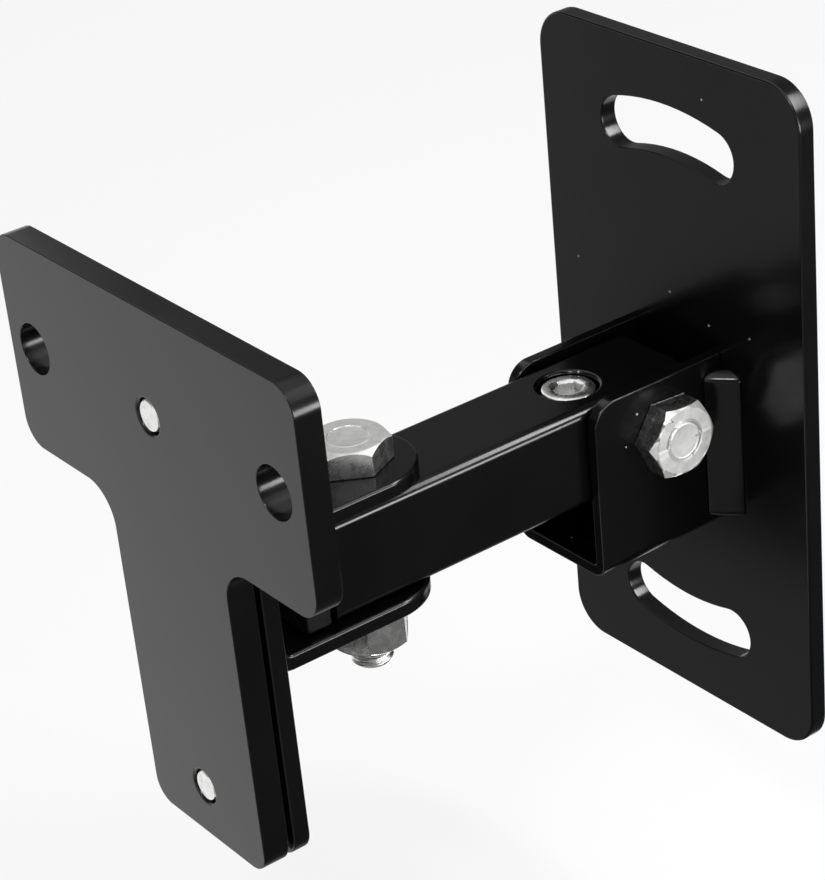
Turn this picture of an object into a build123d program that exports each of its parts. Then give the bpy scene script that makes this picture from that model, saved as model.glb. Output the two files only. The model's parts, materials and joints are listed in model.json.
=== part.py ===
from build123d import *
import math
import os

os.makedirs("parts", exist_ok=True)

# Speaker wall bracket, all sizes in millimetres.
# Frame: origin at the middle of the wall plate's back face, +X right, +Z up.
# The wall is on the +Y side, so every "out" value is a distance from the wall along -Y.
# Drawn in its neutral pose: arm level, speaker plate parallel to the wall.

# Wall plate
plate_width = 88.0
plate_height = 171.0
plate_thickness = 4.5
plate_corner_radius = 10.0
plate_edge_round = 0.6
slot_centre_radius = 65.0
slot_width = 12.6
slot_half_angle = 14.5

# Square tube arm
tube_size = 25.0
tube_wall = 2.0
tube_corner_radius = 2.5
tube_inner_radius = 0.8
tube_tail = 10.0
tube_overhang = 16.0
arm_length = 77.5
sleeve_wall = 3.0

# Folded channel on the wall plate
channel_sheet = 3.0
channel_reach = 21.0
channel_rise = 14.0
channel_drop = 31.5
channel_bend_radius = 4.0
channel_nose_radius = 6.0
channel_side_gap = 0.5
weld_leg_cheek = 6.0
weld_leg_plate = 7.0
weld_end_gap = 3.0
weld_bulge = 0.6

# Two alike hinge bolts: the tilt bolt has a plain nut, the pan bolt a washer and a collared lock nut
tilt_axis_gap = 17.5
tilt_hex_turn = 55.0
tilt_nut_turn = 55.0
pan_hex_turn = 57.0
pan_nut_turn = 22.0
hinge_bolt_diameter = 10.0
hinge_hex_flats = 17.0
hinge_head_height = 6.4
hex_chamfer_height = 1.0
hex_chamfer_reach = 1.7
washer_diameter = 20.0
washer_thickness = 2.0
washer_bore_gap = 0.25
plain_nut_height = 8.4
lock_nut_height = 9.6
nut_collar_height = 1.9
nut_collar_step = 2.0
bolt_overhang = 4.0
bolt_end_chamfer = 1.0
shaft_fit = 0.08
seat_fit = 0.05

# Socket screw in the top of the arm
arm_screw_reach = 15.5
arm_screw_hole = 14.4
arm_screw_rim = 0.9
arm_screw_sink = 0.6
arm_screw_length = 12.0
arm_bush_diameter = 14.0

# All three socket screws
screw_diameter = 8.0
screw_head_diameter = 13.0
screw_head_height = 8.0
socket_flats = 6.0
socket_depth = 4.0

# Cap in the speaker end of the arm
cap_flange = 6.4
cap_groove = 1.6
cap_plug_length = 6.5
cap_plug_wall = 2.0
cap_corner_radius = 1.5
cap_edge_round = 1.2

# Yoke around the speaker end of the arm
yoke_sheet = 4.0
yoke_lip = 2.5
yoke_reach = 36.0
yoke_side_gap = 0.6
yoke_bend_radius = 6.0
yoke_weld_leg = 4.0
yoke_weld_margin = 4.1
yoke_weld_bulge = 0.4

# Strip and T-shaped speaker plate
speaker_plate_thickness = 6.5
head_width = 113.7
head_top = 73.0
head_bottom = 20.6
stem_width = 44.2
head_corner_radius = 6.5
stem_corner_radius = 5.5
inner_corner_radius = 9.0
speaker_hole_diameter = 12.0
speaker_hole_spacing = 92.5
upper_hole_height = 47.0
lower_hole_height = -46.5
strip_thickness = 6.0
strip_corner_radius = 6.0
strip_end_margin = 13.2
screw_hole_gap = 0.5
screw_tip_sink = 0.3
screw_tip_chamfer = 0.6
thread_mouth_chamfer = 0.5

# Places along the way out from the wall
plate_front = plate_thickness
tilt_out = plate_front + tilt_axis_gap
pan_out = tilt_out + arm_length
tube_rear = tilt_out - tube_tail
tube_front = pan_out + tube_overhang
arm_screw_out = tilt_out + arm_screw_reach
strip_back = pan_out + yoke_reach
yoke_web_inner = strip_back - yoke_sheet
speaker_plate_back = strip_back + strip_thickness
speaker_face = speaker_plate_back + speaker_plate_thickness

# Sizes that fit one piece to another
tube_inner = tube_size - 2 * tube_wall
channel_inner_half = tube_size / 2 + channel_side_gap
channel_outer_half = channel_inner_half + channel_sheet
channel_depth = tilt_axis_gap + channel_reach
hinge_hole = hinge_bolt_diameter + 2 * shaft_fit
hex_corner_radius = hinge_hex_flats / math.sqrt(3)
arm_screw_top = tube_size / 2 - arm_screw_sink
arm_screw_seat = arm_screw_top - screw_head_height
cap_plug_size = tube_inner - 2 * seat_fit
cap_rear = tube_front - cap_plug_length
cap_flange_rear = tube_front + cap_groove
yoke_width = tube_size + 2 * yoke_lip
yoke_half = yoke_width / 2
yoke_inner_half = tube_size / 2 + yoke_side_gap
yoke_outer_half = yoke_inner_half + yoke_sheet
yoke_weld_half = yoke_outer_half - yoke_weld_margin
stem_bottom = lower_hole_height - strip_end_margin
strip_top = upper_hole_height + strip_end_margin
plate_screw_reach = speaker_face - screw_tip_sink - strip_back

wall_side = Plane.XZ
side_view = Plane.YZ

# Wall plate with two arc slots that let it be levelled before the screws are tightened
with BuildLine() as upper_slot_path:
    CenterArc((0, 0), slot_centre_radius, 90 - slot_half_angle, 2 * slot_half_angle)
with BuildLine() as lower_slot_path:
    CenterArc((0, 0), slot_centre_radius, 270 - slot_half_angle, 2 * slot_half_angle)
with BuildPart() as wall_plate:
    with BuildSketch(wall_side):
        RectangleRounded(plate_width, plate_height, plate_corner_radius)
        SlotArc(upper_slot_path.edge(), slot_width, mode=Mode.SUBTRACT)
        SlotArc(lower_slot_path.edge(), slot_width, mode=Mode.SUBTRACT)
    extrude(amount=plate_thickness)
    front_face = wall_plate.faces().sort_by(Axis.Y)[0]
    fillet(front_face.outer_wire().edges(), radius=plate_edge_round)
wall_plate.part.label = "wall_plate"
export_step(wall_plate.part, "parts/wall_plate.step")

# Channel folded from one strip of sheet, open at the top and at the front
with BuildPart() as wall_channel:
    with BuildSketch(wall_side.offset(plate_front)):
        with BuildLine():
            FilletPolyline(
                (-channel_outer_half, channel_rise),
                (-channel_outer_half, -channel_drop),
                (channel_outer_half, -channel_drop),
                (channel_outer_half, channel_rise),
                radius=channel_bend_radius,
            )
            Line((channel_outer_half, channel_rise), (channel_inner_half, channel_rise))
            FilletPolyline(
                (channel_inner_half, channel_rise),
                (channel_inner_half, -channel_drop + channel_sheet),
                (-channel_inner_half, -channel_drop + channel_sheet),
                (-channel_inner_half, channel_rise),
                radius=channel_bend_radius - channel_sheet,
            )
            Line((-channel_inner_half, channel_rise), (-channel_outer_half, channel_rise))
        make_face()
    extrude(amount=channel_depth)
    nose_edges = wall_channel.edges().filter_by(Axis.X).group_by(Axis.Z)[-1].group_by(Axis.Y)[0]
    fillet(nose_edges, radius=channel_nose_radius)
    with BuildSketch(side_view):
        with Locations((-tilt_out, 0)):
            Circle(hinge_hole / 2)
    extrude(amount=channel_outer_half, both=True, mode=Mode.SUBTRACT)
wall_channel.part.label = "wall_channel"
export_step(wall_channel.part, "parts/wall_channel.step")

# Fillet welds that join the outer sides of the channel to the wall plate
weld_low = -channel_drop + weld_end_gap
weld_high = channel_rise - weld_end_gap
for side, name in ((-1, "channel_weld_left"), (1, "channel_weld_right")):
    cheek_x = side * channel_outer_half
    toe_x = side * (channel_outer_half + weld_leg_plate)
    crown_x = side * (channel_outer_half + weld_leg_plate / 2 + weld_bulge)
    with BuildPart() as channel_weld:
        with BuildSketch(Plane.XY.offset(weld_low)):
            with BuildLine():
                Line((cheek_x, -plate_front - weld_leg_cheek), (cheek_x, -plate_front))
                Line((cheek_x, -plate_front), (toe_x, -plate_front))
                ThreePointArc(
                    (toe_x, -plate_front),
                    (crown_x, -plate_front - weld_leg_cheek / 2 - weld_bulge),
                    (cheek_x, -plate_front - weld_leg_cheek),
                )
            make_face()
        extrude(amount=weld_high - weld_low)
    channel_weld.part.label = name
    export_step(channel_weld.part, f"parts/{name}.step")

# Arm: square tube with the two hinge holes and the screw hole in its top wall
with BuildPart() as arm_tube:
    with BuildSketch(wall_side.offset(tube_rear)):
        RectangleRounded(tube_size, tube_size, tube_corner_radius)
        RectangleRounded(tube_inner, tube_inner, tube_inner_radius, mode=Mode.SUBTRACT)
    extrude(amount=tube_front - tube_rear)
    with BuildSketch(side_view):
        with Locations((-tilt_out, 0)):
            Circle(hinge_hole / 2)
    extrude(amount=tube_size, both=True, mode=Mode.SUBTRACT)
    with BuildSketch(Plane.XY):
        with Locations((0, -pan_out)):
            Circle(hinge_hole / 2)
    extrude(amount=tube_size, both=True, mode=Mode.SUBTRACT)
    with BuildSketch(Plane.XY):
        with Locations((0, -arm_screw_out)):
            Circle(arm_screw_hole / 2)
    extrude(amount=tube_size, mode=Mode.SUBTRACT)
    top_face = arm_tube.faces().filter_by(Axis.Z).sort_by(Axis.Z)[-1]
    screw_rim = top_face.edges().filter_by(GeomType.CIRCLE).sort_by(Axis.Y)[-1]
    fillet(screw_rim, radius=arm_screw_rim)
arm_tube.part.label = "arm_tube"
export_step(arm_tube.part, "parts/arm_tube.step")

# Threaded bush inside the tube and the socket screw that is sunk into it
with BuildPart() as arm_screw_bush:
    with BuildSketch(Plane.XY.offset(-tube_inner / 2)):
        with Locations((0, -arm_screw_out)):
            Circle(arm_bush_diameter / 2)
            Circle(screw_diameter / 2 + seat_fit, mode=Mode.SUBTRACT)
    extrude(amount=arm_screw_seat + tube_inner / 2)
arm_screw_bush.part.label = "arm_screw_bush"
export_step(arm_screw_bush.part, "parts/arm_screw_bush.step")

with BuildPart() as arm_socket_screw:
    with BuildSketch(Plane.XY.offset(arm_screw_seat)):
        with Locations((0, -arm_screw_out)):
            Circle(screw_head_diameter / 2)
    extrude(amount=screw_head_height)
    with BuildSketch(Plane.XY.offset(arm_screw_seat)):
        with Locations((0, -arm_screw_out)):
            Circle(screw_diameter / 2)
    extrude(amount=-arm_screw_length)
    with BuildSketch(Plane.XY.offset(arm_screw_top)):
        with Locations((0, -arm_screw_out)):
            RegularPolygon(socket_flats / 2, 6, major_radius=False)
    extrude(amount=-socket_depth, mode=Mode.SUBTRACT)
arm_socket_screw.part.label = "arm_socket_screw"
export_step(arm_socket_screw.part, "parts/arm_socket_screw.step")

# Plastic cap: a hollow plug in the tube, a narrow neck and a square flange
with BuildPart() as arm_end_cap:
    with BuildSketch(wall_side.offset(cap_rear)):
        RectangleRounded(cap_plug_size, cap_plug_size, tube_inner_radius)
    extrude(amount=cap_flange_rear - cap_rear)
    with BuildSketch(wall_side.offset(cap_flange_rear)):
        RectangleRounded(tube_size, tube_size, cap_corner_radius)
    extrude(amount=cap_flange)
    cap_front_face = arm_end_cap.faces().sort_by(Axis.Y)[0]
    fillet(cap_front_face.outer_wire().edges(), radius=cap_edge_round)
    with BuildSketch(wall_side.offset(cap_rear)):
        Rectangle(cap_plug_size - 2 * cap_plug_wall, cap_plug_size - 2 * cap_plug_wall)
    extrude(amount=cap_plug_length, mode=Mode.SUBTRACT)
arm_end_cap.part.label = "arm_end_cap"
export_step(arm_end_cap.part, "parts/arm_end_cap.step")

# Yoke folded from one strip, its ears rounded about the pan axis
with BuildPart() as yoke:
    with BuildSketch(side_view):
        with BuildLine():
            FilletPolyline(
                (-pan_out + yoke_half, yoke_outer_half),
                (-strip_back, yoke_outer_half),
                (-strip_back, -yoke_outer_half),
                (-pan_out + yoke_half, -yoke_outer_half),
                radius=yoke_bend_radius,
            )
            Line(
                (-pan_out + yoke_half, -yoke_outer_half),
                (-pan_out + yoke_half, -yoke_inner_half),
            )
            FilletPolyline(
                (-pan_out + yoke_half, -yoke_inner_half),
                (-yoke_web_inner, -yoke_inner_half),
                (-yoke_web_inner, yoke_inner_half),
                (-pan_out + yoke_half, yoke_inner_half),
                radius=yoke_bend_radius - yoke_sheet,
            )
            Line(
                (-pan_out + yoke_half, yoke_inner_half),
                (-pan_out + yoke_half, yoke_outer_half),
            )
        make_face()
    extrude(amount=yoke_half, both=True)
    with BuildSketch(Plane.XY):
        with Locations((0, -pan_out)):
            Circle(yoke_half)
        with Locations((0, -(pan_out + strip_back) / 2)):
            Rectangle(yoke_width, strip_back - pan_out)
        with Locations((0, -pan_out)):
            Circle(hinge_hole / 2, mode=Mode.SUBTRACT)
    extrude(amount=yoke_outer_half, both=True, mode=Mode.INTERSECT)
yoke.part.label = "yoke"
export_step(yoke.part, "parts/yoke.step")

# Tilt bolt through both cheeks from the right, pan bolt through both ears from above.
# Each has a sleeve in the arm that keeps the tube from being crushed.
# Each line below: name, seat of the head, half the clamped width, turn of the head,
# turn of the nut, washer thickness, nut height, collar height.
tilt_seat = Plane((channel_outer_half, -tilt_out, 0), x_dir=(0, 1, 0), z_dir=(1, 0, 0))
pan_seat = Plane((0, -pan_out, yoke_outer_half), x_dir=(1, 0, 0), z_dir=(0, 0, 1))
hinges = (
    (
        "tilt", tilt_seat, channel_outer_half, tilt_hex_turn,
        tilt_nut_turn, 0.0, plain_nut_height, 0.0,
    ),
    (
        "pan", pan_seat, yoke_outer_half, pan_hex_turn,
        pan_nut_turn, washer_thickness, lock_nut_height, nut_collar_height,
    ),
)
for hinge, head_seat, clamp_half, head_turn, nut_turn, washer, nut_height, collar in hinges:
    bolt_axis = Axis(head_seat.origin, head_seat.z_dir)
    bolt_length = 2 * clamp_half + washer + nut_height + collar + bolt_overhang
    with BuildPart() as hinge_bolt:
        with BuildSketch(head_seat):
            Circle(hex_corner_radius)
        extrude(amount=hinge_head_height)
        head_top_face = hinge_bolt.faces().sort_by(bolt_axis)[-1]
        chamfer(
            head_top_face.edges(),
            length=hex_chamfer_reach,
            length2=hex_chamfer_height,
            reference=head_top_face,
        )
        with BuildSketch(head_seat):
            RegularPolygon(hinge_hex_flats / 2, 6, major_radius=False, rotation=head_turn)
        extrude(amount=hinge_head_height, mode=Mode.INTERSECT)
        with BuildSketch(head_seat):
            Circle(hinge_bolt_diameter / 2)
        extrude(amount=-bolt_length)
        bolt_end = hinge_bolt.edges().sort_by(bolt_axis)[0]
        chamfer(bolt_end, length=bolt_end_chamfer)
    hinge_bolt.part.label = f"{hinge}_bolt"
    export_step(hinge_bolt.part, f"parts/{hinge}_bolt.step")

    if washer > 0:
        with BuildPart() as hinge_washer:
            with BuildSketch(head_seat.offset(-2 * clamp_half)):
                Circle(washer_diameter / 2)
                Circle(hinge_bolt_diameter / 2 + washer_bore_gap, mode=Mode.SUBTRACT)
            extrude(amount=-washer)
        hinge_washer.part.label = f"{hinge}_washer"
        export_step(hinge_washer.part, f"parts/{hinge}_washer.step")

    nut_seat = head_seat.offset(-2 * clamp_half - washer)
    with BuildPart() as hinge_nut:
        with BuildSketch(nut_seat):
            Circle(hex_corner_radius)
        extrude(amount=-nut_height)
        nut_end_face = hinge_nut.faces().sort_by(bolt_axis)[0]
        chamfer(
            nut_end_face.edges(),
            length=hex_chamfer_reach,
            length2=hex_chamfer_height,
            reference=nut_end_face,
        )
        with BuildSketch(nut_seat):
            RegularPolygon(hinge_hex_flats / 2, 6, major_radius=False, rotation=nut_turn)
        extrude(amount=-nut_height, mode=Mode.INTERSECT)
        if collar > 0:
            with BuildSketch(nut_seat.offset(-nut_height)):
                Circle(hinge_hex_flats / 2 - nut_collar_step)
            extrude(amount=-collar)
        with BuildSketch(nut_seat):
            Circle(hinge_bolt_diameter / 2 + seat_fit)
        extrude(amount=-nut_height - collar, mode=Mode.SUBTRACT)
    hinge_nut.part.label = f"{hinge}_nut"
    export_step(hinge_nut.part, f"parts/{hinge}_nut.step")

    with BuildPart() as hinge_sleeve:
        with BuildSketch(head_seat.offset(-clamp_half)):
            Circle(hinge_hole / 2 + sleeve_wall)
            Circle(hinge_hole / 2, mode=Mode.SUBTRACT)
        extrude(amount=tube_inner / 2, both=True)
    hinge_sleeve.part.label = f"{hinge}_sleeve"
    export_step(hinge_sleeve.part, f"parts/{hinge}_sleeve.step")

# Welds along the two upright edges of the yoke's back
for side, name in ((-1, "yoke_weld_left"), (1, "yoke_weld_right")):
    edge_x = side * yoke_half
    toe_x = side * (yoke_half + yoke_weld_leg)
    crown_x = side * (yoke_half + yoke_weld_leg / 2 + yoke_weld_bulge)
    with BuildPart() as yoke_weld:
        with BuildSketch(Plane.XY.offset(-yoke_weld_half)):
            with BuildLine():
                Line((edge_x, -strip_back), (edge_x, -strip_back + yoke_weld_leg))
                ThreePointArc(
                    (edge_x, -strip_back + yoke_weld_leg),
                    (crown_x, -strip_back + yoke_weld_leg / 2 + yoke_weld_bulge),
                    (toe_x, -strip_back),
                )
                Line((toe_x, -strip_back), (edge_x, -strip_back))
            make_face()
        extrude(amount=2 * yoke_weld_half)
    yoke_weld.part.label = name
    export_step(yoke_weld.part, f"parts/{name}.step")

# Strip behind the speaker plate
strip_height = strip_top - stem_bottom
with BuildPart() as backing_strip:
    with BuildSketch(wall_side.offset(strip_back)):
        with Locations((0, (strip_top + stem_bottom) / 2)):
            RectangleRounded(stem_width, strip_height, strip_corner_radius)
        with Locations((0, upper_hole_height), (0, lower_hole_height)):
            Circle(screw_diameter / 2 + screw_hole_gap, mode=Mode.SUBTRACT)
    extrude(amount=strip_thickness)
backing_strip.part.label = "backing_strip"
export_step(backing_strip.part, "parts/backing_strip.step")

# T-shaped speaker plate: two clear holes in the head, two threaded ones on the middle line
with BuildPart() as adapter_plate:
    with BuildSketch(wall_side.offset(speaker_plate_back)):
        with BuildLine():
            Polyline(
                (-head_width / 2, head_top),
                (head_width / 2, head_top),
                (head_width / 2, head_bottom),
                (stem_width / 2, head_bottom),
                (stem_width / 2, stem_bottom),
                (-stem_width / 2, stem_bottom),
                (-stem_width / 2, head_bottom),
                (-head_width / 2, head_bottom),
                close=True,
            )
        make_face()
    extrude(amount=speaker_plate_thickness)
    upright = adapter_plate.edges().filter_by(Axis.Y)
    stem_corners = upright.group_by(Axis.Z)[0]
    inner_corners = upright.group_by(Axis.Z)[1].sort_by(Axis.X)[1:3]
    outer_corners = upright.group_by(Axis.Z)[1].sort_by(Axis.X)[::3] + upright.group_by(Axis.Z)[2]
    fillet(stem_corners, radius=stem_corner_radius)
    fillet(inner_corners, radius=inner_corner_radius)
    fillet(outer_corners, radius=head_corner_radius)
    with BuildSketch(wall_side.offset(speaker_plate_back)):
        with Locations(
            (-speaker_hole_spacing / 2, upper_hole_height),
            (speaker_hole_spacing / 2, upper_hole_height),
        ):
            Circle(speaker_hole_diameter / 2)
        with Locations((0, upper_hole_height), (0, lower_hole_height)):
            Circle(screw_diameter / 2 + seat_fit)
    extrude(amount=speaker_plate_thickness, mode=Mode.SUBTRACT)
    speaker_side = adapter_plate.faces().filter_by(Axis.Y).sort_by(Axis.Y)[0]
    rims = speaker_side.edges().filter_by(GeomType.CIRCLE)
    thread_rims = rims.filter_by(lambda rim: abs(rim.arc_center.X) < screw_diameter)
    chamfer(thread_rims, length=thread_mouth_chamfer)
adapter_plate.part.label = "adapter_plate"
export_step(adapter_plate.part, "parts/adapter_plate.step")

# Socket screws that hold the speaker plate from behind the strip
plate_screws = (("plate_screw_upper", upper_hole_height), ("plate_screw_lower", lower_hole_height))
for name, height in plate_screws:
    with BuildPart() as plate_screw:
        with BuildSketch(wall_side.offset(strip_back)):
            with Locations((0, height)):
                Circle(screw_head_diameter / 2)
        extrude(amount=-screw_head_height)
        with BuildSketch(wall_side.offset(strip_back)):
            with Locations((0, height)):
                Circle(screw_diameter / 2)
        extrude(amount=plate_screw_reach)
        screw_tip = plate_screw.edges().sort_by(Axis.Y)[0]
        chamfer(screw_tip, length=screw_tip_chamfer)
        with BuildSketch(wall_side.offset(strip_back - screw_head_height)):
            with Locations((0, height)):
                RegularPolygon(socket_flats / 2, 6, major_radius=False)
        extrude(amount=socket_depth, mode=Mode.SUBTRACT)
    plate_screw.part.label = name
    export_step(plate_screw.part, f"parts/{name}.step")
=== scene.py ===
import json
import math

import bmesh
import bpy
from mathutils import Matrix, Vector, noise


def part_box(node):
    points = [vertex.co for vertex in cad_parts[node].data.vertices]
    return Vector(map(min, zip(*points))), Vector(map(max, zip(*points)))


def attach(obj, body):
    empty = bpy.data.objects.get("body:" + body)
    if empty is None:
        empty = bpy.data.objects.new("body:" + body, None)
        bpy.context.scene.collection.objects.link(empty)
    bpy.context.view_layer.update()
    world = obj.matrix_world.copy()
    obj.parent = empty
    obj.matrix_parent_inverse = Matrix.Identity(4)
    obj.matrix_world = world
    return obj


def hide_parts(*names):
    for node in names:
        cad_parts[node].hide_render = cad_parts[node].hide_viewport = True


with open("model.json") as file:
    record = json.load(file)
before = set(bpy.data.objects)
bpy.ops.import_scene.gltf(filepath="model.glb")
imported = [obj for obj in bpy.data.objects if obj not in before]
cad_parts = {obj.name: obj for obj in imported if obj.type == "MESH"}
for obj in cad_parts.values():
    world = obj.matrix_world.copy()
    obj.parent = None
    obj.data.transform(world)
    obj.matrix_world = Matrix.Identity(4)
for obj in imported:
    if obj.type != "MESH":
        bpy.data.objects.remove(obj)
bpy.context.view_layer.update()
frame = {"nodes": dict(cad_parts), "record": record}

MM = 0.001

# Directions in the shared frame
up = Vector((0, 0, 1))
room = Vector((0, -1, 0))
wall = Vector((0, 1, 0))

# Meshing: distances in millimetres, angles in degrees
AROUND = 96
SAME_PLACE = 0.002
SAME_PLANE = 0.3
SOFT_SEGMENTS = 3
SOFT_ANGLE = 35.0
FASTENER_ROUNDING = 0.12
FASTENER_SEGMENTS = 2
FASTENER_ANGLE = 28.0

# Hinge bolts, in millimetres. A dish share is a part of the way from the dish's middle to its edge.
HINGE_FLATS = 17.0
HINGE_HEAD_HEIGHT = 6.4
HEX_CHAMFER_HEIGHT = 1.2
HEX_CHAMFER_REACH = 1.55
CHAMFER_INNER_RADIUS = HINGE_FLATS / math.sqrt(3) - HEX_CHAMFER_REACH
HEAD_FOOT_CHAMFER = 0.25
HEAD_FACE_INSET = 0.15
HEAD_RING_OUTER = 5.2
HEAD_RING_OUTER_SLOPE = 0.2
HEAD_RING_INNER = 4.6
HEAD_RING_INNER_SLOPE = 0.1
HEAD_RING_RISE = 0.12
HEAD_DISH_EDGE = 0.05
HEAD_DISH_DEPTH = 0.14
HEAD_DISH_SHARES = (0.85, 0.65, 0.45, 0.25, 0.1)
HINGE_BOLT_RADIUS = 5.0
HINGE_THREAD_PITCH = 1.5
HINGE_THREAD_LENGTH = 17.0
HINGE_TIP_LENGTH = 0.9
HINGE_TIP_CHAMFER = 1.0
HINGE_TIP_ROUNDING = 0.15

# Faces of a hinge bolt's head that count as stamped: the material's index, and how far they face up
STAMPED = 1
STAMPED_FACES_UP = 0.6

# Hinge nuts, in millimetres
PLAIN_NUT_HEIGHT = 8.4
LOCK_NUT_HEIGHT = 9.6
NUT_FOOT_CHAMFER = 0.35
NUT_FOOT_LIP = 0.1
NUT_BORE_RADIUS = 5.05
NUT_BORE_CHAMFER = 0.4
NUT_BORE_FLARE = 0.5
NUT_COLLAR_HEIGHT = 1.9
NUT_COLLAR_RADIUS = 6.5
# The collar's outline: how far past its radius, and how far above the hexagon or below its end
COLLAR_FOOT = ((0.1, 0.05), (0.0, 0.4))
COLLAR_END = ((-0.05, 0.7), (-0.3, 0.2), (-0.7, 0.0))

# Socket screws, in millimetres
SCREW_AROUND = 160
SCREW_RADIUS = 4.0
SCREW_THREAD_PITCH = 1.25
SCREW_NECK = 0.8
SCREW_TIP_LENGTH = 0.5
SCREW_TIP_CHAMFER = 0.6
SOCKET_HEAD_RADIUS = 6.5
SOCKET_HEAD_HEIGHT = 8.0
SOCKET_HEAD_FOOT = 0.3
SOCKET_FLATS = 6.0
SOCKET_DEPTH = 4.0
SOCKET_MOUTH_RADIUS = 4.0
SOCKET_MOUTH_DEPTH = 0.5
SOCKET_DRILL_RADIUS = 0.4
SOCKET_DRILL_DEPTH = 0.9
KNURL_RIDGES = 40
KNURL_DEPTH = 0.16
KNURL_RUN_IN = 0.3
KNURL_BELOW_TOP = 1.2
# The head's rounded top edge: how far inside its radius and below its top
SOCKET_HEAD_EDGE = ((0.0, 0.6), (0.2, 0.2), (0.6, 0.0))
SCREW_ROUNDING = 0.1
SCREW_ANGLE = 32.0

# Threads: depth as a share of the pitch, and how steep the flanks and how wide the crest are
THREAD_RINGS_PER_TURN = 6
THREAD_DEPTH = 0.54
THREAD_FLANK = 1.2
THREAD_CREST = 0.1

# Weld beads: lengths in millimetres, rates per millimetre, the rest as shares of a leg
BEAD_ROW = 0.35
BEAD_COLUMNS = 16
BEAD_END = 2.4
BEAD_FULLNESS = 0.99
BEAD_WANDER = 0.012
BEAD_WANDER_RATE = 0.12
BEAD_BOW = 0.03
BEAD_LUMPS = 0.003
BEAD_LUMP_RATE = 0.2
BEAD_LUMPS_ACROSS = 1.5
CHANNEL_WELD_LEGS = (6.0, 7.0)
YOKE_WELD_LEGS = (4.0, 4.0)

# Dust: where it lies, in metres, and its tone
DUSTY_SPOT = (0.0, -0.025, 0.012)
DUST_TONE = (0.42, 0.41, 0.4)


# Materials
def start_material(name):
    material = bpy.data.materials.new(name)
    material.use_nodes = True
    tree = material.node_tree
    shader = tree.nodes["Principled BSDF"]
    place = tree.nodes.new("ShaderNodeTexCoord")
    return material, tree, shader, place.outputs["Object"]


def noise_texture(tree, place, scale, detail, roughness=0.5, distortion=0.0):
    texture = tree.nodes.new("ShaderNodeTexNoise")
    texture.inputs["Scale"].default_value = scale
    texture.inputs["Detail"].default_value = detail
    texture.inputs["Roughness"].default_value = roughness
    texture.inputs["Distortion"].default_value = distortion
    tree.links.new(place, texture.inputs["Vector"])
    return texture.outputs["Fac"]


def remap(tree, value, low, high, new_low, new_high):
    node = tree.nodes.new("ShaderNodeMapRange")
    node.inputs["From Min"].default_value = low
    node.inputs["From Max"].default_value = high
    node.inputs["To Min"].default_value = new_low
    node.inputs["To Max"].default_value = new_high
    tree.links.new(value, node.inputs["Value"])
    return node.outputs["Result"]


def blend_colours(tree, share, first, second):
    node = tree.nodes.new("ShaderNodeMix")
    node.data_type = "RGBA"
    tree.links.new(share, node.inputs["Factor"])
    for socket, colour in ((node.inputs["A"], first), (node.inputs["B"], second)):
        if isinstance(colour, tuple):
            socket.default_value = (*colour, 1.0)
        else:
            tree.links.new(colour, socket)
    return node.outputs["Result"]


def arithmetic(tree, operation, first, second):
    node = tree.nodes.new("ShaderNodeMath")
    node.operation = operation
    for socket, value in zip(node.inputs, (first, second)):
        if isinstance(value, (int, float)):
            socket.default_value = value
        else:
            tree.links.new(value, socket)
    return node.outputs["Value"]


def add_bump(tree, shader, layers):
    """Each layer is a pattern, how strongly it shows and how high it is in millimetres."""
    normal = None
    for height, strength, distance in layers:
        bump = tree.nodes.new("ShaderNodeBump")
        bump.inputs["Strength"].default_value = strength
        bump.inputs["Distance"].default_value = distance * MM
        tree.links.new(height, bump.inputs["Height"])
        if normal is not None:
            tree.links.new(normal, bump.inputs["Normal"])
        normal = bump.outputs["Normal"]
    tree.links.new(normal, shader.inputs["Normal"])


def set_surface(tree, shader, tone, pattern, roughness, bumps):
    """Gives a shader its tone, a roughness that goes from low to high by a pattern, and bumps."""
    tree.links.new(tone, shader.inputs["Base Color"])
    tree.links.new(remap(tree, pattern, 0.3, 0.7, *roughness), shader.inputs["Roughness"])
    add_bump(tree, shader, bumps)


def dust_specks(tree, place):
    """Dots in the middle of a few small cells, most of them near the dusty spot."""
    cells = tree.nodes.new("ShaderNodeTexVoronoi")
    cells.inputs["Scale"].default_value = 150.0
    tree.links.new(place, cells.inputs["Vector"])
    dot = arithmetic(tree, "LESS_THAN", cells.outputs["Distance"], 0.042)
    split = tree.nodes.new("ShaderNodeSeparateColor")
    tree.links.new(cells.outputs["Color"], split.inputs["Color"])
    reach = tree.nodes.new("ShaderNodeVectorMath")
    reach.operation = "DISTANCE"
    reach.inputs[1].default_value = DUSTY_SPOT
    tree.links.new(place, reach.inputs[0])
    clean_share = remap(tree, reach.outputs["Value"], 0.015, 0.05, 0.2, 0.93)
    chosen = arithmetic(tree, "GREATER_THAN", split.outputs["Red"], clean_share)
    return arithmetic(tree, "MULTIPLY", dot, chosen)


def black_paint():
    material, tree, shader, place = start_material("black_powder_paint")
    peel = noise_texture(tree, place, scale=1400.0, detail=2.0)
    waves = noise_texture(tree, place, scale=260.0, detail=3.0)
    patches = noise_texture(tree, place, scale=45.0, detail=4.0, roughness=0.6)
    clean = blend_colours(tree, patches, (0.001, 0.001, 0.0011), (0.002, 0.002, 0.0022))
    tone = blend_colours(tree, dust_specks(tree, place), clean, DUST_TONE)
    shader.inputs["IOR"].default_value = 1.44
    bumps = ((waves, 0.10, 0.10), (peel, 0.12, 0.03))
    set_surface(tree, shader, tone, patches, (0.175, 0.22), bumps)
    return material


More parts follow.
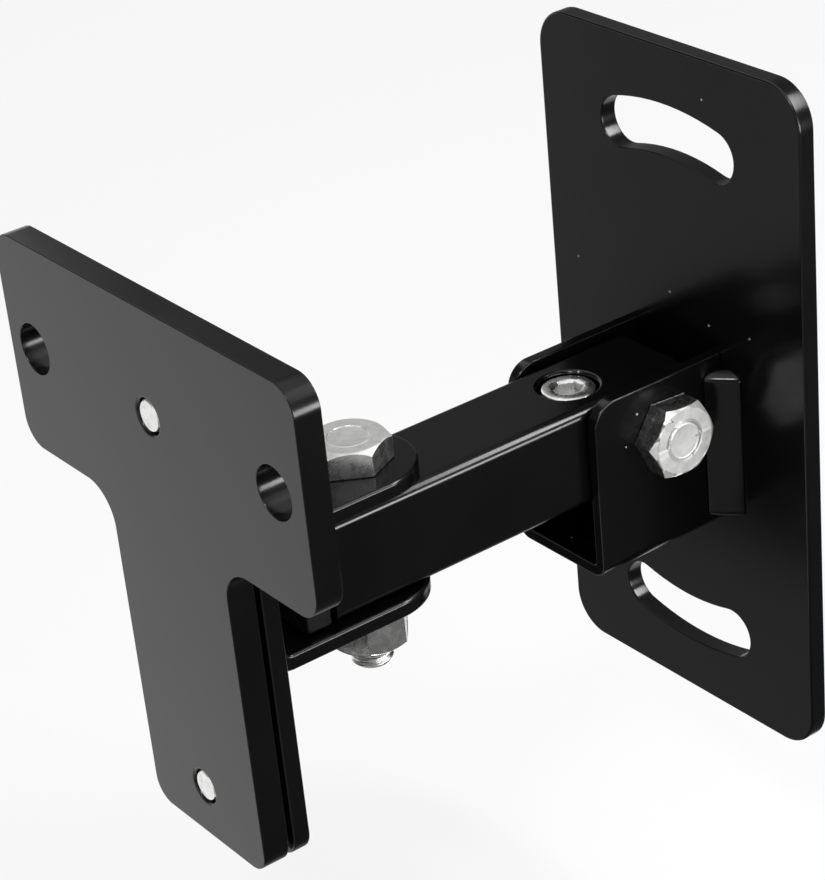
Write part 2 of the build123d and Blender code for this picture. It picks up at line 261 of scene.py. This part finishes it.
def zinc_plate(name, metallic, clean_tone, stained_tone, roughness, dent):
    material, tree, shader, place = start_material(name)
    shader.inputs["Metallic"].default_value = metallic
    grain = noise_texture(tree, place, scale=2200.0, detail=3.0)
    stains = noise_texture(tree, place, scale=420.0, detail=4.0, roughness=0.65, distortion=0.6)
    stained = remap(tree, stains, 0.35, 0.75, 0.0, 1.0)
    tone = blend_colours(tree, stained, clean_tone, stained_tone)
    bumps = ((stains, dent, 0.12), (grain, 0.2, 0.03))
    set_surface(tree, shader, tone, stains, roughness, bumps)
    return material


def plain_steel():
    material, tree, shader, place = start_material("plain_turned_steel")
    shader.inputs["Metallic"].default_value = 1.0
    grain = noise_texture(tree, place, scale=1500.0, detail=4.0)
    stains = noise_texture(tree, place, scale=180.0, detail=4.0, roughness=0.6)
    tone = blend_colours(tree, stains, (0.5, 0.49, 0.47), (0.36, 0.35, 0.34))
    set_surface(tree, shader, tone, stains, (0.34, 0.5), ((grain, 0.25, 0.05),))
    return material


def black_plastic():
    material, tree, shader, place = start_material("satin_black_plastic")
    grain = noise_texture(tree, place, scale=1800.0, detail=2.0)
    sheen = noise_texture(tree, place, scale=120.0, detail=3.0)
    tone = blend_colours(tree, sheen, (0.004, 0.004, 0.0043), (0.007, 0.007, 0.0073))
    set_surface(tree, shader, tone, sheen, (0.24, 0.3), ((grain, 0.25, 0.05),))
    return material


finishes = {
    "black_paint": black_paint(),
    "zinc_plate": zinc_plate(
        "bright_zinc_plate",
        metallic=1.0,
        clean_tone=(0.95, 0.95, 0.94),
        stained_tone=(0.66, 0.66, 0.65),
        roughness=(0.2, 0.34),
        dent=0.2,
    ),
    "plain_steel": plain_steel(),
    "black_plastic": black_plastic(),
}
stamped_zinc = zinc_plate(
    "stamped_zinc_plate",
    metallic=0.7,
    clean_tone=(0.7, 0.7, 0.69),
    stained_tone=(0.52, 0.52, 0.51),
    roughness=(0.46, 0.54),
    dent=0.06,
)
slot_of = {row["node"]: row["material_slot"] for row in frame["record"]["subparts"]}
body_with = {
    node: body for body, nodes in frame["record"]["behaviour"]["bodies"].items() for node in nodes
}


# Pieces
def add_piece(bm, name, node):
    """Makes an object of the mesh, in place of a CAD node and riding where that rides."""
    bmesh.ops.recalc_face_normals(bm, faces=bm.faces)
    mesh = bpy.data.meshes.new(name)
    bm.to_mesh(mesh)
    bm.free()
    mesh.shade_smooth()
    mesh.materials.append(finishes[slot_of[node]])
    if slot_of[node] == "zinc_plate":
        mesh.materials.append(stamped_zinc)
    piece = bpy.data.objects.new(name, mesh)
    bpy.context.collection.objects.link(piece)
    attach(piece, body_with[node])
    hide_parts(node)
    return piece


def even_normals(piece):
    modifier = piece.modifiers.new("even_normals", "WEIGHTED_NORMAL")
    modifier.keep_sharp = True


def round_edges(bm, width, segments, angle):
    sharp = [
        edge
        for edge in bm.edges
        if len(edge.link_faces) == 2 and edge.calc_face_angle() > math.radians(angle)
    ]
    bmesh.ops.bevel(
        bm,
        geom=sharp,
        offset=width * MM,
        offset_type="OFFSET",
        affect="EDGES",
        segments=segments,
        profile=0.5,
        material=-1,
        clamp_overlap=True,
    )


def joined_copy(node):
    """A copy of a CAD node's mesh, with its facets joined into whole faces."""
    bm = bmesh.new()
    bm.from_mesh(frame["nodes"][node].data)
    bmesh.ops.remove_doubles(bm, verts=bm.verts, dist=SAME_PLACE * MM)
    bmesh.ops.dissolve_limit(
        bm, angle_limit=math.radians(SAME_PLANE), verts=bm.verts, edges=bm.edges, delimit=set()
    )
    return bm


def softened(node, name, width):
    """A CAD node's shape with its sharp edges rounded."""
    bm = joined_copy(node)
    round_edges(bm, width, SOFT_SEGMENTS, SOFT_ANGLE)
    even_normals(add_piece(bm, name, node))


def stepped_front(node, name, width, gap, recess):
    """A CAD node's shape with rounded edges and a narrower front, so that a dark gap shows."""
    bm = joined_copy(node)
    front = min(vert.co.y for vert in bm.verts)
    just_behind = front + 0.01 * MM
    faces = [face for face in bm.faces if max(vert.co.y for vert in face.verts) < just_behind]
    for vert in {vert for face in faces for vert in face.verts}:
        vert.co.y += gap * MM
    bmesh.ops.inset_region(bm, faces=faces, thickness=recess * MM, use_even_offset=True)
    raised = bmesh.ops.extrude_face_region(bm, geom=faces)["geom"]
    for vert in (item for item in raised if isinstance(item, bmesh.types.BMVert)):
        vert.co.y = front
    bmesh.ops.delete(bm, geom=[face for face in faces if face.is_valid], context="FACES_ONLY")
    round_edges(bm, width, SOFT_SEGMENTS, SOFT_ANGLE)
    even_normals(add_piece(bm, name, node))


def turned_mesh(rings, around, closed=False):
    """Draws a circle on from ring to ring about the Z axis.

    A ring is a function of the angle to (radius, height). A closed mesh ends where it begins.
    """
    bm = bmesh.new()
    step = 2 * math.pi / around

    def settle(verts, ring):
        for vert in verts:
            angle = round(math.atan2(vert.co.y, vert.co.x) / step) * step
            radius, height = ring(angle)
            vert.co = Vector((radius * math.cos(angle), radius * math.sin(angle), height)) * MM

    circle = bmesh.ops.create_circle(bm, segments=around, radius=1.0, cap_ends=not closed)
    verts = circle["verts"]
    edges = list({edge for vert in verts for edge in vert.link_edges})
    settle(verts, rings[0])
    for ring in rings[1:] + (rings[:1] if closed else []):
        made = bmesh.ops.extrude_edge_only(bm, edges=edges)["geom"]
        verts = [item for item in made if isinstance(item, bmesh.types.BMVert)]
        lines = [item for item in made if isinstance(item, bmesh.types.BMEdge)]
        fresh = set(verts)
        edges = [edge for edge in lines if fresh.issuperset(edge.verts)]
        settle(verts, ring)
    if closed:
        bmesh.ops.remove_doubles(bm, verts=bm.verts, dist=SAME_PLACE * MM)
    else:
        bmesh.ops.edgeloop_fill(bm, edges=edges)
    bmesh.ops.recalc_face_normals(bm, faces=bm.faces)
    return bm


def round_ring(radius, height):
    return lambda angle: (radius, height)


def hexagon_radius(flats, angle, corner):
    """Distance from a hexagon's middle to its outline, with one corner at the angle corner."""
    third = math.pi / 3
    off_face = (angle - corner) % third - third / 2
    return flats / 2 / math.cos(off_face)


def hexagon_ring(flats, corner, height):
    return lambda angle: (hexagon_radius(flats, angle, corner), height)


def chamfer_ring(corner, top):
    """The line where a hexagon's sides meet the cone that is turned on its end."""

    def ring(angle):
        beyond = hexagon_radius(HINGE_FLATS, angle, corner)
        drop = max(0.0, beyond - CHAMFER_INNER_RADIUS) * HEX_CHAMFER_HEIGHT / HEX_CHAMFER_REACH
        return beyond, top - drop

    return ring


def thread_rings(start, length, pitch, radius):
    """Rings of a screw thread that begins at the height start and runs down from there."""
    depth = THREAD_DEPTH * pitch
    count = int(length / pitch * THREAD_RINGS_PER_TURN)

    def at(run):
        def ring(angle):
            phase = (run / pitch + angle / (2 * math.pi)) % 1.0
            ridge = abs(2 * phase - 1)
            fade = min(1.0, run / pitch)
            groove = min(1.0, max(0.0, THREAD_FLANK * ridge - THREAD_CREST))
            return radius - depth * fade * groove, start - run

        return ring

    return [at(length * index / count) for index in range(count + 1)]


def corner_angle(node, place):
    """The direction of one of a hexagon's corners, read from the CAD node, on a ring's vertex."""
    to_local = place.inverted()
    far = max(
        (to_local @ vert.co for vert in frame["nodes"][node].data.vertices),
        key=lambda point: point.x**2 + point.y**2,
    )
    step = 2 * math.pi / AROUND
    return round(math.atan2(far.y, far.x) / step) * step


def hinge_bolt(node, name, place, length):
    """A hexagon bolt with a raised ring round a shallow dish. Its seat is at the place's origin."""
    corner = corner_angle(node, place)
    top = HINGE_HEAD_HEIGHT
    plain = length - HINGE_THREAD_LENGTH
    thread_run = HINGE_THREAD_LENGTH - HINGE_TIP_LENGTH
    dish_edge = top - HEAD_DISH_EDGE
    rings = [
        round_ring(HINGE_BOLT_RADIUS - HINGE_TIP_CHAMFER, -length),
        round_ring(
            HINGE_BOLT_RADIUS - (HINGE_TIP_CHAMFER - HINGE_TIP_ROUNDING),
            -length + HINGE_TIP_ROUNDING,
        ),
        *reversed(thread_rings(-plain, thread_run, HINGE_THREAD_PITCH, HINGE_BOLT_RADIUS)),
        round_ring(HINGE_BOLT_RADIUS, 0.0),
        hexagon_ring(HINGE_FLATS - 2 * HEAD_FOOT_CHAMFER, corner, 0.0),
        hexagon_ring(HINGE_FLATS, corner, HEAD_FOOT_CHAMFER),
        chamfer_ring(corner, top),
        round_ring(CHAMFER_INNER_RADIUS - HEAD_FACE_INSET, top),
        round_ring(HEAD_RING_OUTER + HEAD_RING_OUTER_SLOPE, top),
        round_ring(HEAD_RING_OUTER, top + HEAD_RING_RISE),
        round_ring(HEAD_RING_INNER + HEAD_RING_INNER_SLOPE, top + HEAD_RING_RISE),
        round_ring(HEAD_RING_INNER, dish_edge),
    ]
    for share in HEAD_DISH_SHARES:
        depth = HEAD_DISH_DEPTH * (1 - share**2)
        rings.append(round_ring(HEAD_RING_INNER * share, dish_edge - depth))
    bm = turned_mesh(rings, AROUND)
    below_chamfer = (top - HEX_CHAMFER_HEIGHT) * MM
    for face in bm.faces:
        if face.calc_center_median().z > below_chamfer and face.normal.z > STAMPED_FACES_UP:
            face.material_index = STAMPED
    bm.transform(place)
    round_edges(bm, FASTENER_ROUNDING, FASTENER_SEGMENTS, FASTENER_ANGLE)
    even_normals(add_piece(bm, name, node))


def hexagon_nut(node, name, place, height, collar):
    """A hexagon nut, with a round collar or none. The place's Z axis points away from the seat."""
    corner = corner_angle(node, place)
    end = height + collar
    rings = [
        round_ring(NUT_BORE_RADIUS, NUT_BORE_CHAMFER),
        round_ring(NUT_BORE_RADIUS + NUT_BORE_FLARE, 0.0),
        round_ring(CHAMFER_INNER_RADIUS + NUT_FOOT_LIP, 0.0),
        hexagon_ring(HINGE_FLATS, corner, NUT_FOOT_CHAMFER),
        chamfer_ring(corner, height),
        round_ring(CHAMFER_INNER_RADIUS, height),
    ]
    if collar > 0:
        rings += [round_ring(NUT_COLLAR_RADIUS + out, height + rise) for out, rise in COLLAR_FOOT]
        rings += [round_ring(NUT_COLLAR_RADIUS + out, end - drop) for out, drop in COLLAR_END]
    rings += [
        round_ring(NUT_BORE_RADIUS + NUT_BORE_FLARE, end),
        round_ring(NUT_BORE_RADIUS, end - NUT_BORE_CHAMFER),
    ]
    bm = turned_mesh(rings, AROUND, closed=True)
    bm.transform(place)
    round_edges(bm, FASTENER_ROUNDING, FASTENER_SEGMENTS, FASTENER_ANGLE)
    even_normals(add_piece(bm, name, node))


def socket_screw(node, name, place, length):
    """A knurled cylinder head with a hexagon socket. The head's seat is at the place's origin."""
    top = SOCKET_HEAD_HEIGHT
    thread_run = length - SCREW_NECK - SCREW_TIP_LENGTH

    def knurled(height, depth):
        def ring(angle):
            groove = 0.5 + 0.5 * math.cos(KNURL_RIDGES * angle)
            return SOCKET_HEAD_RADIUS - depth * groove, height

        return ring

    rings = [
        round_ring(SCREW_RADIUS - SCREW_TIP_CHAMFER, -length),
        *reversed(thread_rings(-SCREW_NECK, thread_run, SCREW_THREAD_PITCH, SCREW_RADIUS)),
        round_ring(SCREW_RADIUS, 0.0),
        round_ring(SOCKET_HEAD_RADIUS - SOCKET_HEAD_FOOT, 0.0),
        knurled(SOCKET_HEAD_FOOT, 0.0),
        knurled(SOCKET_HEAD_FOOT + KNURL_RUN_IN, KNURL_DEPTH),
        knurled(top - KNURL_BELOW_TOP - KNURL_RUN_IN, KNURL_DEPTH),
        knurled(top - KNURL_BELOW_TOP, 0.0),
        *(round_ring(SOCKET_HEAD_RADIUS - inset, top - drop) for inset, drop in SOCKET_HEAD_EDGE),
        round_ring(SOCKET_MOUTH_RADIUS, top),
        hexagon_ring(SOCKET_FLATS, 0.0, top - SOCKET_MOUTH_DEPTH),
        hexagon_ring(SOCKET_FLATS, 0.0, top - SOCKET_DEPTH),
        round_ring(SOCKET_DRILL_RADIUS, top - SOCKET_DEPTH - SOCKET_DRILL_DEPTH),
    ]
    bm = turned_mesh(rings, SCREW_AROUND)
    bm.transform(place)
    piece = add_piece(bm, name, node)
    round_off = piece.modifiers.new("fine_edges", "BEVEL")
    round_off.width = SCREW_ROUNDING * MM
    round_off.segments = FASTENER_SEGMENTS
    round_off.limit_method = "ANGLE"
    round_off.angle_limit = math.radians(SCREW_ANGLE)
    even_normals(piece)


def weld_bead(node, corner, out_a, out_b, legs, length, seed):
    """A smooth, slightly uneven upright bead in the corner between two faces, rounded at its ends.

    The bead reaches its legs' lengths from the corner, along the directions out_a and out_b.
    """
    leg_a, leg_b = legs
    rows = int(length / BEAD_ROW)
    bm = bmesh.new()
    bmesh.ops.create_grid(bm, x_segments=rows, y_segments=BEAD_COLUMNS, size=1.0)
    for vert in bm.verts:
        far = (vert.co.x + 1) / 2 * length
        turn = (vert.co.y + 1) / 2
        wander = noise.noise(Vector((seed, far * BEAD_WANDER_RATE, 0.0)))
        lump_place = Vector((far * BEAD_LUMP_RATE, turn * BEAD_LUMPS_ACROSS, seed + 7.0))
        lumps = BEAD_LUMPS * noise.noise(lump_place)
        to_end = min(far, length - far)
        taper = math.sqrt(max(0.0, 1 - (1 - min(1.0, to_end / BEAD_END)) ** 2))
        swell = taper * (BEAD_FULLNESS + BEAD_WANDER * wander)
        crown = 1 - abs(2 * turn - 1) ** 4
        bow = taper * crown * (BEAD_BOW + lumps)
        a = (1 - turn) * leg_a * swell + bow * leg_b
        b = turn * leg_b * swell + bow * leg_a
        vert.co = (corner + up * (far - length / 2) + out_a * a + out_b * b) * MM
    rim = [edge for edge in bm.edges if edge.is_boundary]
    spine = bmesh.ops.extrude_edge_only(bm, edges=rim)["geom"]
    for vert in (item for item in spine if isinstance(item, bmesh.types.BMVert)):
        offset = vert.co - corner * MM
        vert.co = (corner * MM) + up * offset.dot(up)
    bmesh.ops.remove_doubles(bm, verts=bm.verts, dist=0.01 * MM)
    bmesh.ops.holes_fill(bm, edges=bm.edges, sides=0)
    add_piece(bm, node + "_bead", node)


# Flat, folded and square pieces keep their CAD shape and get softly rounded edges
softened("wall_plate", "wall_plate_painted", 0.4)
softened("wall_channel", "wall_channel_painted", 0.8)
softened("arm_tube", "arm_tube_painted", 0.3)
softened("yoke", "yoke_painted", 0.8)
stepped_front("backing_strip", "backing_strip_painted", 0.5, gap=1.6, recess=2.2)
softened("adapter_plate", "adapter_plate_painted", 0.75)
softened("arm_end_cap", "arm_end_cap_moulded", 0.4)
softened("pan_washer", "pan_washer_plated", 0.25)

# Hinge hardware: the tilt bolt lies along X and the pan bolt stands along Z
tilt_low, tilt_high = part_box("tilt_bolt")
pan_low, pan_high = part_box("pan_bolt")
tilt_out = (tilt_low.y + tilt_high.y) / 2
pan_out = (pan_low.y + pan_high.y) / 2
tilt_seat = tilt_high.x - HINGE_HEAD_HEIGHT * MM
pan_seat = pan_high.z - HINGE_HEAD_HEIGHT * MM
along_x = Matrix(((0, 0, 1), (1, 0, 0), (0, 1, 0))).to_4x4()
against_x = Matrix(((0, 0, -1), (1, 0, 0), (0, -1, 0))).to_4x4()
downwards = Matrix(((1, 0, 0), (0, -1, 0), (0, 0, -1))).to_4x4()

hinge_bolt(
    "tilt_bolt",
    "tilt_bolt_plated",
    Matrix.Translation((tilt_seat, tilt_out, 0)) @ along_x,
    (tilt_seat - tilt_low.x) / MM,
)
hinge_bolt(
    "pan_bolt",
    "pan_bolt_plated",
    Matrix.Translation((0, pan_out, pan_seat)),
    (pan_seat - pan_low.z) / MM,
)
hexagon_nut(
    "tilt_nut",
    "tilt_nut_plated",
    Matrix.Translation((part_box("tilt_nut")[1].x, tilt_out, 0)) @ against_x,
    PLAIN_NUT_HEIGHT,
    0.0,
)
hexagon_nut(
    "pan_nut",
    "pan_nut_plated",
    Matrix.Translation((0, pan_out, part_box("pan_nut")[1].z)) @ downwards,
    LOCK_NUT_HEIGHT,
    NUT_COLLAR_HEIGHT,
)

# Socket screws: one stands in the arm, two lie behind the speaker plate
arm_screw_low, arm_screw_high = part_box("arm_socket_screw")
arm_screw_out = (arm_screw_low.y + arm_screw_high.y) / 2
socket_screw(
    "arm_socket_screw",
    "arm_socket_screw_plated",
    Matrix.Translation((0, arm_screw_out, arm_screw_high.z - SOCKET_HEAD_HEIGHT * MM)),
    (arm_screw_high.z - arm_screw_low.z) / MM - SOCKET_HEAD_HEIGHT,
)
towards_wall = Matrix(((1, 0, 0), (0, 0, 1), (0, -1, 0))).to_4x4()
for which in ("upper", "lower"):
    low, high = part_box("plate_screw_" + which)
    seat = (0, high.y - SOCKET_HEAD_HEIGHT * MM, (low.z + high.z) / 2)
    socket_screw(
        "plate_screw_" + which,
        "plate_screw_" + which + "_plated",
        Matrix.Translation(seat) @ towards_wall,
        (high.y - low.y) / MM - SOCKET_HEAD_HEIGHT,
    )

# Weld beads: the channel's on the wall plate, the yoke's on the backing strip
for side, which in ((-1, "left"), (1, "right")):
    outward = Vector((side, 0, 0))
    low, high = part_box("channel_weld_" + which)
    inner_x = low.x if side > 0 else high.x
    weld_bead(
        "channel_weld_" + which,
        Vector((inner_x, high.y, (low.z + high.z) / 2)) / MM,
        room,
        outward,
        CHANNEL_WELD_LEGS,
        (high.z - low.z) / MM,
        3.0 + side,
    )
    low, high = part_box("yoke_weld_" + which)
    inner_x = low.x if side > 0 else high.x
    weld_bead(
        "yoke_weld_" + which,
        Vector((inner_x, low.y, (low.z + high.z) / 2)) / MM,
        wall,
        outward,
        YOKE_WELD_LEGS,
        (high.z - low.z) / MM,
        11.0 + side,
    )

# CAD nodes that stay as they are
for node in ("tilt_sleeve", "pan_sleeve", "arm_screw_bush"):
    for slot in frame["nodes"][node].material_slots:
        slot.material = finishes[slot_of[node]]


# Studio: pale floor, white surroundings, soft lamps and dark cards that only reflections show
FLOOR_HEIGHT = -0.14
FLOOR_TONE = (0.86, 0.86, 0.86, 1.0)
FLOOR_ROUGHNESS = 0.9
FLOOR_WHITE_SHARE = 0.8
WHITE = (1.0, 1.0, 1.0)
SOFT_GREY = (0.5, 0.5, 0.5)
LAMP_TARGET = Vector((0, -0.07, 0))


def white_share(tree):
    path = tree.nodes.new("ShaderNodeLightPath")
    seen = arithmetic(tree, "MAXIMUM", path.outputs["Is Camera Ray"], path.outputs["Is Glossy Ray"])
    return arithmetic(tree, "MAXIMUM", seen, path.outputs["Is Transmission Ray"])


world = bpy.data.worlds.new("studio")
bpy.context.scene.world = world
world.use_nodes = True
tree = world.node_tree
background = tree.nodes["Background"]
background.inputs["Strength"].default_value = 1.0
tone = blend_colours(tree, white_share(tree), SOFT_GREY, WHITE)
tree.links.new(tone, background.inputs["Color"])


def flat_card(name, centre, facing, width, height, material):
    bm = bmesh.new()
    bmesh.ops.create_grid(bm, x_segments=1, y_segments=1, size=0.5)
    turn = Vector(facing).to_track_quat("Z", "Y").to_matrix().to_4x4()
    bm.transform(Matrix.Translation(centre) @ turn @ Matrix.Diagonal((width, height, 1.0, 1.0)))
    mesh = bpy.data.meshes.new(name)
    bm.to_mesh(mesh)
    bm.free()
    mesh.materials.append(material)
    card = bpy.data.objects.new(name, mesh)
    bpy.context.collection.objects.link(card)
    return card


def floor_material():
    """Matt for the light that falls on it, and nearly white for the camera and reflections."""
    material = bpy.data.materials.new("pale_floor")
    material.use_nodes = True
    tree = material.node_tree
    matt = tree.nodes["Principled BSDF"]
    matt.inputs["Base Color"].default_value = FLOOR_TONE
    matt.inputs["Roughness"].default_value = FLOOR_ROUGHNESS
    white = tree.nodes.new("ShaderNodeEmission")
    white.inputs["Color"].default_value = (*WHITE, 1.0)
    mixed = tree.nodes.new("ShaderNodeMixShader")
    share = arithmetic(tree, "MULTIPLY", white_share(tree), FLOOR_WHITE_SHARE)
    tree.links.new(share, mixed.inputs["Fac"])
    tree.links.new(matt.outputs["BSDF"], mixed.inputs[1])
    tree.links.new(white.outputs["Emission"], mixed.inputs[2])
    tree.links.new(mixed.outputs["Shader"], tree.nodes["Material Output"].inputs["Surface"])
    return material


def card_material(name, shade):
    material = bpy.data.materials.new(name)
    material.use_nodes = True
    tree = material.node_tree
    glow = tree.nodes.new("ShaderNodeEmission")
    glow.inputs["Color"].default_value = (shade, shade, shade, 1.0)
    tree.links.new(glow.outputs["Emission"], tree.nodes["Material Output"].inputs["Surface"])
    return material


def flag(name, centre, facing, width, height, shade):
    """A card that darkens reflections and is seen by nothing else."""
    card = flat_card(name, centre, facing, width, height, card_material(name + "_tone", shade))
    card.visible_camera = False
    card.visible_shadow = False
    card.visible_diffuse = False
    card.visible_transmission = False


def lamp(name, place, width, depth, watts):
    """A soft rectangular lamp aimed at the bracket, with its width square to the arm's line."""
    light = bpy.data.lights.new(name, "AREA")
    light.shape = "RECTANGLE"
    light.size = width
    light.size_y = depth
    light.energy = watts
    lamp_object = bpy.data.objects.new(name, light)
    bpy.context.collection.objects.link(lamp_object)
    lamp_object.location = place
    back_axis = (Vector(place) - LAMP_TARGET).normalized()
    wide_axis = wall.cross(back_axis).normalized()
    axes = Matrix((wide_axis, back_axis.cross(wide_axis), back_axis)).transposed()
    lamp_object.rotation_euler = axes.to_euler()
    lamp_object.visible_camera = False


flat_card("floor", (0, 0, FLOOR_HEIGHT), up, 12.0, 12.0, floor_material())
above_floor = FLOOR_HEIGHT + 0.001
flag("back_flag", (0, 0.6, 0.55), room, 3.2, 1.5, shade=0.2)
flag("right_floor_flag", (0.62, 0.225, above_floor), up, 1.2, 0.75, shade=0.09)
flag("under_flag", (-0.13, -0.06, above_floor), up, 0.3, 0.17, shade=0.3)
flag("front_floor_flag", (0.36, -0.38, above_floor), up, 0.66, 0.46, shade=0.32)
flag("left_flag", (-0.165, -0.13, -0.12), wall, 0.2, 0.34, shade=0.35)
flag("dark_flag", (-0.1, -0.127, -0.12), wall, 0.1, 0.11, shade=0.0)
flag("high_front_flag", (-0.8, -0.75, 0.65), (0.66, 0.57, -0.48), 1.6, 0.9, shade=0.14)
flag("high_right_flag", (0.9, -0.2, 0.9), (-0.7, 0.15, -0.7), 0.8, 0.8, shade=0.02)
flag("camera_side_flag", (0.95, -0.95, 0.3), (-0.68, 0.66, -0.25), 0.9, 0.9, shade=0.05)
lamp("overhead_strip", (0.49, 0.52, 0.70), 0.55, 0.16, watts=6.0)
lamp("low_right_softbox", (0.49, 0.175, 0.02), 0.14, 0.18, watts=1.25)
lamp("right_softbox", (0.85, -0.1, 0.08), 0.35, 0.35, watts=2.0)
lamp("front_high_softbox", (0.39, -0.54, 0.67), 0.12, 0.12, watts=2.4)

# Camera: where the photograph was taken from, found by fitting it to the bracket's straight edges.
# Angles are in radians and lengths in metres, save for the lens and the sensor's width.
azimuth = 0.9944
elevation = 0.5224
roll = -0.1136
distance = 0.67905
side_step = 0.0754
rise = -0.03681
fitted_origin = Vector((0, -0.0045, -0.00229))
back = Vector(
    (
        math.sin(azimuth) * math.cos(elevation),
        -math.cos(azimuth) * math.cos(elevation),
        math.sin(elevation),
    )
)
level_right = Vector((math.cos(azimuth), math.sin(azimuth), 0))
level_up = back.cross(level_right)
right = math.cos(roll) * level_right + math.sin(roll) * level_up
top = -math.sin(roll) * level_right + math.cos(roll) * level_up
camera_place = fitted_origin + distance * back - side_step * right + rise * top
camera_data = bpy.data.cameras.new("camera")
camera_data.sensor_width = 36.0
camera_data.lens = 115.9
camera_data.shift_x = 0.05658
camera_data.shift_y = 0.12129
camera_data.clip_start = 0.01
camera = bpy.data.objects.new("camera", camera_data)
bpy.context.collection.objects.link(camera)
axes = Matrix((right, top, back)).transposed().to_4x4()
camera.matrix_world = Matrix.Translation(camera_place) @ axes
bpy.context.scene.camera = camera
bpy.context.scene.view_settings.view_transform = "Standard"
